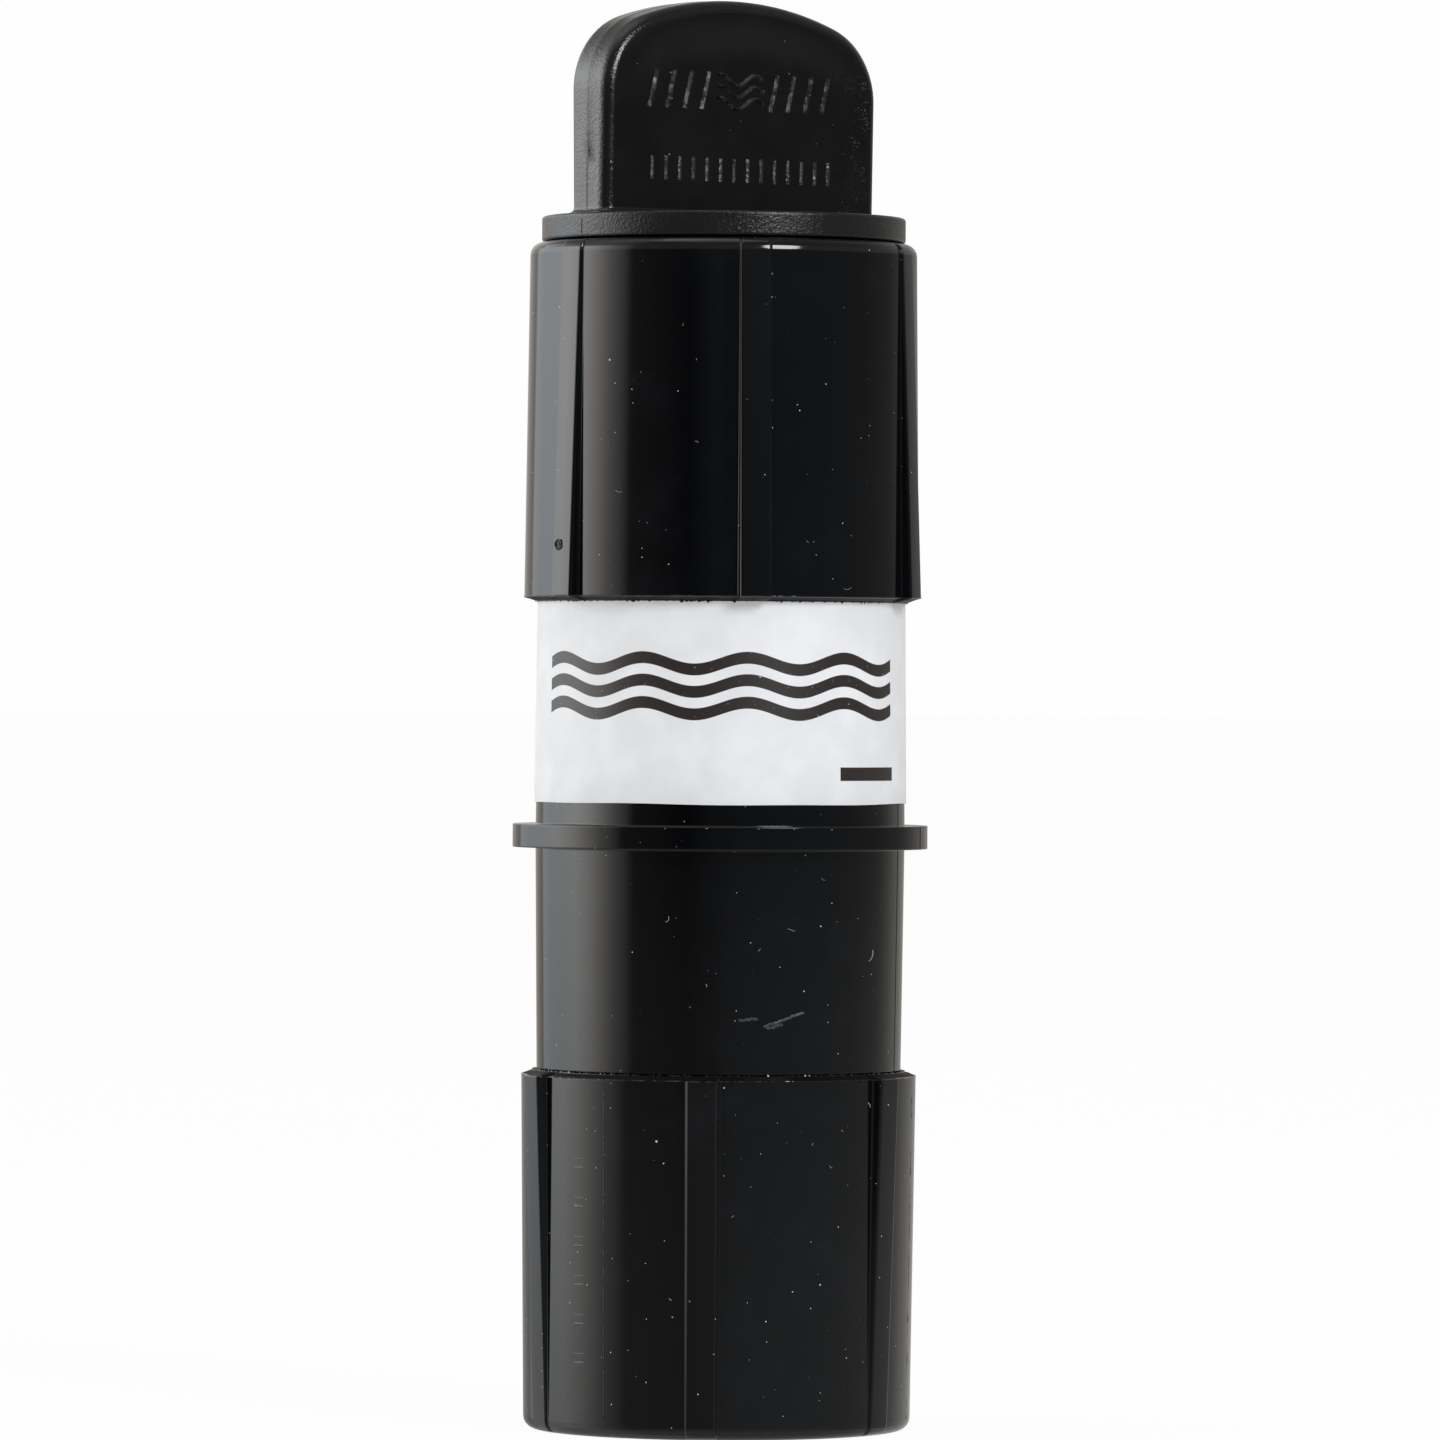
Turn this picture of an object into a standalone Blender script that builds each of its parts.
"""Coupling for half-inch drip-irrigation tube, with a flush plug screwed into its upper end.

The part stands on the open mouth of its lower socket. Z runs up the common axis, and the origin is
the centre of the lower rim. Both ends hold the same pieces: a ribbed collar, a grip ring, a spacer
and a lip seal. A tube pushes the teeth and the lip open as it goes in; at the upper end the plug
adapter already does.

Run it in Blender 4.5 with: blender --background --python part.py
"""

import math

import bmesh
import bpy

MM = 0.001
GAP = 0.3  # left between pieces that touch

# Driving dimensions, in millimetres
LENGTH = 76.2  # coupling, rim to rim
COLLAR_LENGTH = 22.8
COLLAR_RIM_R = 12.43  # the outside opens out towards the middle of the coupling
COLLAR_WIDE_R = 12.69
COLLAR_BORE_R = 10.95
RIM_ROUND = 0.8
MOUTH_R = 9.35  # clears an 18 mm tube
MOUTH_CHAMFER = 1.05
MOUTH_DEPTH = 3.0
RIB_COUNT = 6
RIB_CREST_R = 13.35  # at the collar's wide end; the rib fades out at the mouth
RIB_START = 0.9  # from the rim
RIB_HALF_ANGLE = 4.4  # degrees, at the crest
RIB_DRAFT = 0.6  # degrees added to the half angle at the foot
UPPER_RIB_TURN = 39.4  # degrees, one rib's direction from +X
LOWER_RIB_TURN = 25.5

BARREL_R = 11.87  # beside the flange
BARREL_END_R = 11.71  # beside the collars
BARREL_NECK_R = COLLAR_BORE_R - GAP  # under the collars
SOCKET_R = 9.25
SOCKET_BEVEL = 0.5
STOP_R = 6.6
STOP_HALF = 1.2
FLANGE_R = 13.35
FLANGE_HALF = 0.75
FLANGE_CHAMFER = 0.2

STACK_R = BARREL_NECK_R  # outer radius of the rings between collar and barrel
STACK_WALL = 1.05  # grip ring and seal, without their teeth or lip
GRIP_START = MOUTH_DEPTH + GAP
GRIP_DEPTH = 2.0
TOOTH_COUNT = 12
TOOTH_SLOT = 0.7
TOOTH_LENGTH = 3.1  # kept as the tooth bends
TOOTH_TIP = 0.4
SPACER_WALL = 1.15
SPACER_DEPTH = 1.2
SEAL_DEPTH = 3.2
LIP_LENGTH = 3.0  # kept as the lip bends
LIP_TIP = 0.5
BLADE_ROOT = 1.5  # depth of a tooth or lip where it leaves its ring
FREE_TIP_R = 7.75  # teeth and lip with nothing pushed in
PUSHED_TIP_R = 8.6  # teeth and lip around the plug adapter

LABEL_START = 40.2
LABEL_OUTER_R = 11.9
LABEL_INNER_R = 11.7

PLUG_SEAT = LENGTH + GAP  # underside of the plug's disc
DISC_R = 11.7
DISC_DEPTH = 1.6
TAB_TOP = 91.9
TAB_WIDTH = 22.5
TAB_FOOT_DEPTH = 3.4  # front to back at the disc
TAB_DEPTH = 3.9  # front to back at the crown
TAB_CROWN_R = 20.0
TAB_CORNER_R = 5.0
TAB_EDGE = 0.5
TAB_TURN = 39.3  # degrees from +X
DISC_ROUND = 0.5
DISC_RELIEF = 0.2
DISC_ROOF = 1.2  # left above the shank's bore
SHANK_R = 5.7
SHANK_BORE_R = 4.2
SHANK_LENGTH = 9.3
SHANK_POINT = 0.5
O_RING_R = 7.2
O_RING_SECTION_R = 0.65
ADAPTER_R = 8.3
ADAPTER_BEVEL = 0.6
ADAPTER_BORE_R = 6.4
ADAPTER_LENGTH = 20.0
ADAPTER_TOP = PLUG_SEAT - 2 * GAP - 2 * O_RING_SECTION_R  # the O-ring lies on it

THREAD_LEAD = 3.0
THREAD_TURNS = 1.75
THREAD_FOOT = 68.45  # height of the ridges' lowest ends
THREAD_OUTER_R = 6.95  # root of the adapter's thread
THREAD_CREST_OUT_R = 6.6  # crest of the plug's ridge
THREAD_CREST_IN_R = 6.05  # crest of the adapter's ridge
THREAD_ROOT_HALF = 0.8
THREAD_CREST_HALF = 0.5
THREAD_FADE = 45.0  # degrees over which a ridge's end runs out
THREAD_RUN_IN = 2.0  # wide bore below the adapter's ridge
RIDGE_BITE = 0.3  # how far a ridge or rib is sunk into the wall it stands on
RIDGE_END = 0.05  # what is left of a ridge, inside the wall, where it has run out

ROUND_STEPS = 48
THREAD_STEPS = 24  # per turn
SMOOTH_ANGLE = 35.0


def clear_scene():
    for old in list(bpy.data.objects):
        bpy.data.objects.remove(old, do_unlink=True)


def new_collection(name):
    group = bpy.data.collections.new(name)
    bpy.context.scene.collection.children.link(group)
    return group


def new_object(name, mesh, group):
    obj = bpy.data.objects.new(name, mesh)
    group.objects.link(obj)
    return obj


def plastic(name, colour, roughness):
    """Non-metallic material of one colour."""
    material = bpy.data.materials.new(name)
    material.use_nodes = True
    shader = material.node_tree.nodes["Principled BSDF"]
    shader.inputs["Base Color"].default_value = (*colour, 1.0)
    shader.inputs["Roughness"].default_value = roughness
    shader.inputs["Metallic"].default_value = 0.0
    return material


def arc(centre, radius, start, end, steps):
    """Points on an arc about (x, y), from the start angle to the end angle in degrees."""
    turns = [math.radians(start + (end - start) * i / steps) for i in range(steps + 1)]
    return [(centre[0] + radius * math.cos(a), centre[1] + radius * math.sin(a)) for a in turns]


def turned(name, profile, group, closed=True):
    """Solid of revolution about Z. The profile, (radius, height), runs down its outer side."""
    mesh = bpy.data.meshes.new(name)
    edges = [(i, i + 1) for i in range(len(profile) - 1)]
    if closed:
        edges.append((len(profile) - 1, 0))
    mesh.from_pydata([(r * MM, 0.0, z * MM) for r, z in profile], edges, [])
    obj = new_object(name, mesh, group)
    screw = obj.modifiers.new("turn", "SCREW")
    screw.axis = "Z"
    screw.steps = ROUND_STEPS
    screw.render_steps = ROUND_STEPS
    screw.use_merge_vertices = True
    screw.merge_threshold = 1e-6
    return obj


def sweep_bodies(name, bodies, group):
    """One object of several closed bodies, each a list of sections of equal point counts."""
    shape = bmesh.new()
    for sections in bodies:
        rows = [[shape.verts.new([c * MM for c in point]) for point in section]
                for section in sections]
        count = len(rows[0])
        for low, high in zip(rows, rows[1:]):
            for i in range(count):
                j = (i + 1) % count
                shape.faces.new((low[i], low[j], high[j], high[i]))
        shape.faces.new(rows[0][::-1])
        shape.faces.new(rows[-1])
    bmesh.ops.recalc_face_normals(shape, faces=shape.faces[:])
    mesh = bpy.data.meshes.new(name)
    shape.to_mesh(mesh)
    shape.free()
    return new_object(name, mesh, group)


def flat_plate(name, outline, depth, group):
    """Plate of the (x, z) outline, as deep along Y as depth says, centred on Y = 0."""
    sections = [[(x, side * depth / 2, z) for x, z in outline] for side in (-1, 1)]
    return sweep_bodies(name, [sections], group)


def combine(obj, tool, operation):
    """Exact Boolean of obj with tool. The tool stays in the scene as a hidden guide."""
    tool.display_type = "WIRE"
    tool.hide_render = True
    step = obj.modifiers.new(tool.name, "BOOLEAN")
    step.operation = operation
    step.solver = "EXACT"
    step.object = tool


def settle(obj, material):
    """Makes the modifiers' result the object's own mesh, shaded smooth between sharp edges."""
    depsgraph = bpy.context.evaluated_depsgraph_get()
    mesh = bpy.data.meshes.new_from_object(obj.evaluated_get(depsgraph))
    mesh.name = obj.name
    obj.modifiers.clear()
    obj.data = mesh
    mesh.shade_smooth()
    mesh.set_sharp_from_angle(angle=math.radians(SMOOTH_ANGLE))
    mesh.materials.clear()
    mesh.materials.append(material)


def place(obj, upper, turn=0.0):
    """Leaves an end piece in the lower end, or turns it over into the upper end."""
    if upper:
        obj.location = (0.0, 0.0, LENGTH * MM)
    obj.rotation_euler = (math.pi if upper else 0.0, 0.0, math.radians(turn))


def collar_ribs(name, group):
    """Six ribs that grow from nothing at the mouth to full height at the collar's wide end."""
    start_r = COLLAR_RIM_R + (COLLAR_WIDE_R - COLLAR_RIM_R) * RIB_START / COLLAR_LENGTH
    foot_half = math.radians(RIB_HALF_ANGLE + RIB_DRAFT)
    crest_half = math.radians(RIB_HALF_ANGLE)
    bodies = []
    for k in range(RIB_COUNT):
        middle = math.tau * k / RIB_COUNT
        sections = []
        for height, wall_r, crest_r in ((RIB_START, start_r, start_r),
                                        (COLLAR_LENGTH, COLLAR_WIDE_R, RIB_CREST_R)):
            foot_r = wall_r - RIDGE_BITE
            corners = ((foot_r, -foot_half), (crest_r, -crest_half), (crest_r, 0.0),
                       (crest_r, crest_half), (foot_r, foot_half))
            sections.append([(r * math.cos(middle + a), r * math.sin(middle + a), height)
                             for r, a in corners])
        bodies.append(sections)
    return sweep_bodies(name, bodies, group)


def make_collar(name, upper, turn, group, guides):
    """Sleeve with a chamfered mouth, a lip that holds the rings in, and ribs outside."""
    rim = arc((COLLAR_RIM_R - RIM_ROUND, RIM_ROUND), RIM_ROUND, 0, -90, 4)
    profile = [(COLLAR_WIDE_R, COLLAR_LENGTH), *rim, (MOUTH_R + MOUTH_CHAMFER, 0.0),
               (MOUTH_R, MOUTH_CHAMFER), (MOUTH_R, MOUTH_DEPTH),
               (COLLAR_BORE_R, MOUTH_DEPTH), (COLLAR_BORE_R, COLLAR_LENGTH)]
    obj = turned(name, profile, group)
    ribs = collar_ribs(name + "_ribs", guides)
    combine(obj, ribs, "UNION")
    place(obj, upper, turn)
    place(ribs, upper, turn)
    return obj


def make_barrel(group):
    """Body with a flange at mid length, a tube stop inside it and a neck at each end."""
    middle = LENGTH / 2
    neck_end = GRIP_START + GRIP_DEPTH + SPACER_DEPTH + SEAL_DEPTH + 3 * GAP
    shoulder = COLLAR_LENGTH + GAP
    recess_r = LABEL_INNER_R - GAP
    recess_end = LABEL_START - GAP
    taper = (BARREL_R - BARREL_END_R) / (middle - FLANGE_HALF - shoulder)
    recess_lip_r = BARREL_R - taper * (recess_end - middle - FLANGE_HALF)
    outer = [(BARREL_NECK_R, LENGTH - neck_end), (BARREL_NECK_R, LENGTH - shoulder),
             (recess_r, LENGTH - shoulder), (recess_r, recess_end),
             (recess_lip_r, recess_end), (BARREL_R, middle + FLANGE_HALF),
             (FLANGE_R - FLANGE_CHAMFER, middle + FLANGE_HALF),
             (FLANGE_R, middle + FLANGE_HALF - FLANGE_CHAMFER),
             (FLANGE_R, middle - FLANGE_HALF + FLANGE_CHAMFER),
             (FLANGE_R - FLANGE_CHAMFER, middle - FLANGE_HALF),
             (BARREL_R, middle - FLANGE_HALF), (BARREL_END_R, shoulder),
             (BARREL_NECK_R, shoulder), (BARREL_NECK_R, neck_end)]
    inner = [(SOCKET_R + SOCKET_BEVEL, neck_end), (SOCKET_R, neck_end + SOCKET_BEVEL),
             (SOCKET_R, middle - STOP_HALF), (STOP_R, middle - STOP_HALF)]
    inner += [(r, LENGTH - z) for r, z in inner[::-1]]
    return turned("coupling_barrel", outer + inner, group)


def slot_star(name, group):
    """Star whose arms cut a ring into teeth, short of the ring's own wall."""
    arm_end = STACK_R - STACK_WALL - 0.15
    arm_start = FREE_TIP_R - 0.9
    outline = []
    for k in range(TOOTH_COUNT):
        middle = math.tau * (k + 0.5) / TOOTH_COUNT
        for r, side in ((arm_start, -1), (arm_end, -1), (arm_end, 1), (arm_start, 1)):
            a = middle + side * TOOTH_SLOT / 2 / r
            outline.append((r * math.cos(a), r * math.sin(a)))
    heights = (GRIP_START - GRIP_DEPTH / 2, GRIP_START + 2 * GRIP_DEPTH)
    sections = [[(x, y, z) for x, y in outline] for z in heights]
    return sweep_bodies(name, [sections], group)


def make_grip_ring(name, upper, tip_r, group, guides):
    """Ring with teeth that lean inwards, so a tube slides in past them but not out."""
    foot = GRIP_START
    back = foot + GRIP_DEPTH
    root_r = STACK_R - STACK_WALL
    tip = foot + math.sqrt(TOOTH_LENGTH ** 2 - (root_r - tip_r) ** 2)
    profile = [(STACK_R, back), (STACK_R, foot), (root_r, foot), (tip_r, tip - TOOTH_TIP),
               (tip_r, tip), (root_r - RIDGE_END, foot + BLADE_ROOT), (root_r, back)]
    obj = turned(name, profile, group)
    slots = slot_star(name + "_slots", guides)
    combine(obj, slots, "DIFFERENCE")
    place(obj, upper)
    place(slots, upper)
    return obj


def make_spacer(name, upper, group):
    """Flat ring that keeps the teeth off the seal."""
    foot = GRIP_START + GRIP_DEPTH + GAP
    back = foot + SPACER_DEPTH
    bore_r = STACK_R - SPACER_WALL
    obj = turned(name, [(STACK_R, back), (STACK_R, foot), (bore_r, foot), (bore_r, back)], group)
    place(obj, upper)
    return obj


def make_seal(name, upper, tip_r, group):
    """Rubber ring with one lip that leans inwards, pressed onto the tube by the water."""
    foot = GRIP_START + GRIP_DEPTH + SPACER_DEPTH + 2 * GAP
    back = foot + SEAL_DEPTH
    root_r = STACK_R - STACK_WALL
    tip = foot + math.sqrt(LIP_LENGTH ** 2 - (root_r - tip_r) ** 2)
    profile = [(STACK_R, back), (STACK_R, foot), (root_r, foot), (tip_r, tip - LIP_TIP),
               (tip_r + 0.1, tip), (root_r, foot + BLADE_ROOT), (root_r, back)]
    obj = turned(name, profile, group)
    place(obj, upper)
    return obj


def make_label(group):
    """Paper band round the upper half of the barrel."""
    top = LENGTH - COLLAR_LENGTH - 2 * GAP
    profile = [(LABEL_OUTER_R, top), (LABEL_OUTER_R, LABEL_START),
               (LABEL_INNER_R, LABEL_START), (LABEL_INNER_R, top)]
    return turned("label", profile, group)


def thread_ridge(name, foot_r, crest_r, start_angle, group):
    """Right-handed helical ridge of trapezoid section, running out at both ends."""
    steps = round(THREAD_TURNS * THREAD_STEPS)
    fade_steps = THREAD_FADE / 360 * THREAD_STEPS
    sunk_r = foot_r + math.copysign(RIDGE_END, crest_r - foot_r)
    sections = []
    for i in range(steps + 1):
        angle = math.radians(start_angle) + math.tau * i / THREAD_STEPS
        height = THREAD_FOOT + THREAD_LEAD * i / THREAD_STEPS
        share = min(1.0, i / fade_steps, (steps - i) / fade_steps)
        top_r = sunk_r + (crest_r - sunk_r) * share
        corners = ((foot_r, -THREAD_ROOT_HALF), (top_r, -THREAD_CREST_HALF),
                   (top_r, THREAD_CREST_HALF), (foot_r, THREAD_ROOT_HALF))
        sections.append([(r * math.cos(angle), r * math.sin(angle), height + z)
                         for r, z in corners])
    return sweep_bodies(name, [sections], group)


def tab_outline():
    """Half-round tab outline: a flat crown, two corner arcs and straight sides."""
    corner_x = TAB_WIDTH / 2 - TAB_CORNER_R
    to_corner = TAB_CROWN_R - TAB_CORNER_R
    corner_z = TAB_TOP - TAB_CROWN_R + math.sqrt(to_corner ** 2 - corner_x ** 2)
    meet = math.degrees(math.acos(corner_x / to_corner))
    foot = PLUG_SEAT + DISC_DEPTH - 0.6
    half = [(TAB_WIDTH / 2, foot)]
    half += arc((corner_x, corner_z), TAB_CORNER_R, 0, meet, 6)
    half += arc((0.0, TAB_TOP - TAB_CROWN_R), TAB_CROWN_R, meet, 90, 4)[1:-1]
    return half + [(0.0, TAB_TOP)] + [(-x, z) for x, z in half[::-1]]


def make_tab(group):
    """Thumb tab with rounded edges, standing on the disc and thicker towards its crown."""
    obj = flat_plate("plug_tab", tab_outline(), TAB_DEPTH, group)
    foot = PLUG_SEAT + DISC_DEPTH
    for vertex in obj.data.vertices:
        share = max(0.0, (vertex.co.z / MM - foot) / (TAB_TOP - foot))
        depth = TAB_FOOT_DEPTH + (TAB_DEPTH - TAB_FOOT_DEPTH) * share
        vertex.co.y *= depth / TAB_DEPTH
    edge = obj.modifiers.new("edge", "BEVEL")
    edge.width = TAB_EDGE * MM
    edge.segments = 2
    edge.limit_method = "ANGLE"
    obj.rotation_euler = (0.0, 0.0, math.radians(TAB_TURN))
    return obj


def make_plug(group, guides):
    """Disc on a hollow threaded shank, open below, with the thumb tab on top."""
    top = PLUG_SEAT + DISC_DEPTH
    tip = PLUG_SEAT - SHANK_LENGTH
    disc_edge = arc((DISC_R - DISC_ROUND, top - DISC_ROUND), DISC_ROUND, 90, 0, 3)
    profile = [(0.0, top), *disc_edge, (DISC_R, PLUG_SEAT + DISC_RELIEF),
               (DISC_R - DISC_RELIEF, PLUG_SEAT), (SHANK_R, PLUG_SEAT),
               (SHANK_R, tip + SHANK_POINT), (SHANK_R - SHANK_POINT, tip),
               (SHANK_BORE_R, tip), (SHANK_BORE_R, top - DISC_ROOF), (0.0, top - DISC_ROOF)]
    obj = turned("flush_plug", profile, group, closed=False)
    ridge = thread_ridge("plug_ridge", SHANK_R - RIDGE_BITE, THREAD_CREST_OUT_R, 180.0, guides)
    combine(obj, ridge, "UNION")
    combine(obj, make_tab(guides), "UNION")
    return obj


def make_adapter(group, guides):
    """Tube-sized sleeve that stays in the upper end and holds the plug by its internal thread."""
    foot = ADAPTER_TOP - ADAPTER_LENGTH
    step = THREAD_FOOT - THREAD_RUN_IN
    profile = [(ADAPTER_R, ADAPTER_TOP), (ADAPTER_R, foot + ADAPTER_BEVEL),
               (ADAPTER_R - ADAPTER_BEVEL, foot), (ADAPTER_BORE_R, foot),
               (ADAPTER_BORE_R, step), (THREAD_OUTER_R, step), (THREAD_OUTER_R, ADAPTER_TOP)]
    obj = turned("plug_adapter", profile, group)
    ridge = thread_ridge("adapter_ridge", THREAD_OUTER_R + RIDGE_BITE, THREAD_CREST_IN_R,
                         0.0, guides)
    combine(obj, ridge, "UNION")
    return obj


def make_o_ring(group):
    """Rubber ring between the plug's disc and the adapter's upper face."""
    middle = PLUG_SEAT - GAP - O_RING_SECTION_R
    profile = arc((O_RING_R, middle), O_RING_SECTION_R, 90, -270, 10)[:-1]
    return turned("plug_o_ring", profile, group)


def main():
    clear_scene()
    parts = new_collection("flush_plug_coupling")
    guides = new_collection("guides")

    gloss = plastic("gloss_black_plastic", (0.012, 0.012, 0.013), 0.12)
    satin = plastic("satin_black_plastic", (0.014, 0.014, 0.015), 0.35)
    acetal = plastic("white_acetal", (0.78, 0.77, 0.72), 0.4)
    rubber = plastic("black_rubber", (0.02, 0.02, 0.02), 0.7)
    paper = plastic("white_paper", (0.86, 0.87, 0.9), 0.6)

    finished = [
        (make_barrel(parts), gloss),
        (make_collar("lower_collar", False, LOWER_RIB_TURN, parts, guides), gloss),
        (make_collar("upper_collar", True, UPPER_RIB_TURN, parts, guides), gloss),
        (make_label(parts), paper),
        (make_plug(parts, guides), satin),
        (make_adapter(parts, guides), satin),
        (make_o_ring(parts), rubber),
    ]
    for end, upper, tip_r in (("lower", False, FREE_TIP_R), ("upper", True, PUSHED_TIP_R)):
        ring = make_grip_ring(end + "_grip_ring", upper, tip_r, parts, guides)
        finished.append((ring, acetal))
        finished.append((make_spacer(end + "_spacer", upper, parts), satin))
        finished.append((make_seal(end + "_seal", upper, tip_r, parts), rubber))

    bpy.context.view_layer.update()
    for obj, material in finished:
        settle(obj, material)


main()
